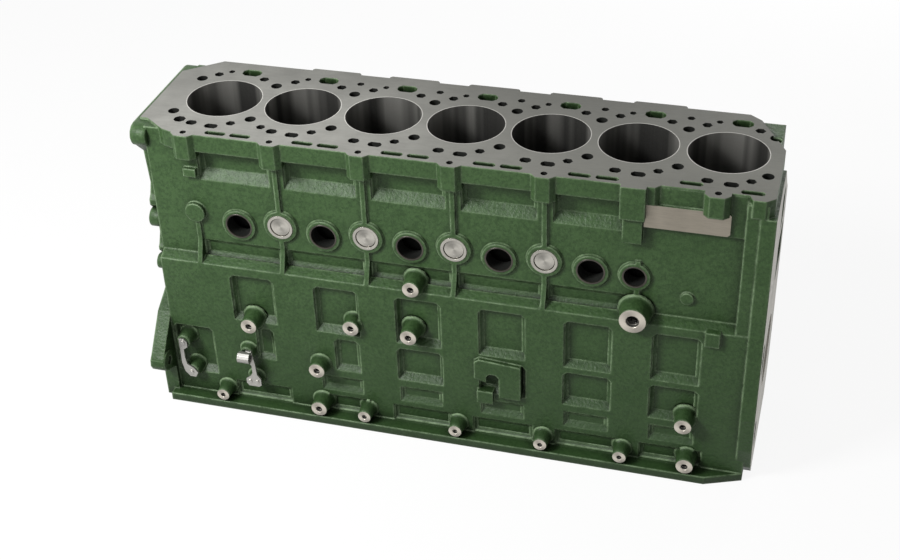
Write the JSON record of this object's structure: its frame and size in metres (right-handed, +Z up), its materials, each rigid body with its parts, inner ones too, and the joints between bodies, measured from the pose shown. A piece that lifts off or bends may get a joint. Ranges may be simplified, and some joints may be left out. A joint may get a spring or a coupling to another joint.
{
  "type": "engine block",
  "caption": "In-line engine block: green cast iron body with a bare machined deck, open cylinder bores, side core holes and plugs, ribbed crankcase and main bearing caps.",
  "frame": {"origin": "in the sump face, at the middle of the block's length and width", "axes": "+X along the crankshaft line towards the flywheel end, +Z up through the deck, -Y out of the side with the open core holes"},
  "size_m": [1.124, 0.3994, 0.584],
  "materials": {
    "painted_casting": "green enamel over rough cast iron, with bare machined deck, bores, end faces and boss faces",
    "cap_iron": "bare cast iron, machined faces",
    "plug_steel": "zinc plated pressed steel",
    "bracket_steel": "bare steel strip"
  },
  "bodies": {
    "root": {"cylinder_block": "painted_casting", "core_plugs_near": "plug_steel", "core_plugs_far": "plug_steel", "oil_gallery_plugs": "plug_steel", "strap_bracket": "bracket_steel", "looped_bracket": "bracket_steel", "main_bearing_cap_1": "cap_iron", "main_bearing_cap_2": "cap_iron", "main_bearing_cap_3": "cap_iron", "main_bearing_cap_4": "cap_iron", "main_bearing_cap_5": "cap_iron", "main_bearing_cap_6": "cap_iron", "main_bearing_cap_7": "cap_iron", "main_bearing_cap_8": "cap_iron"}
  },
  "joints": []
}
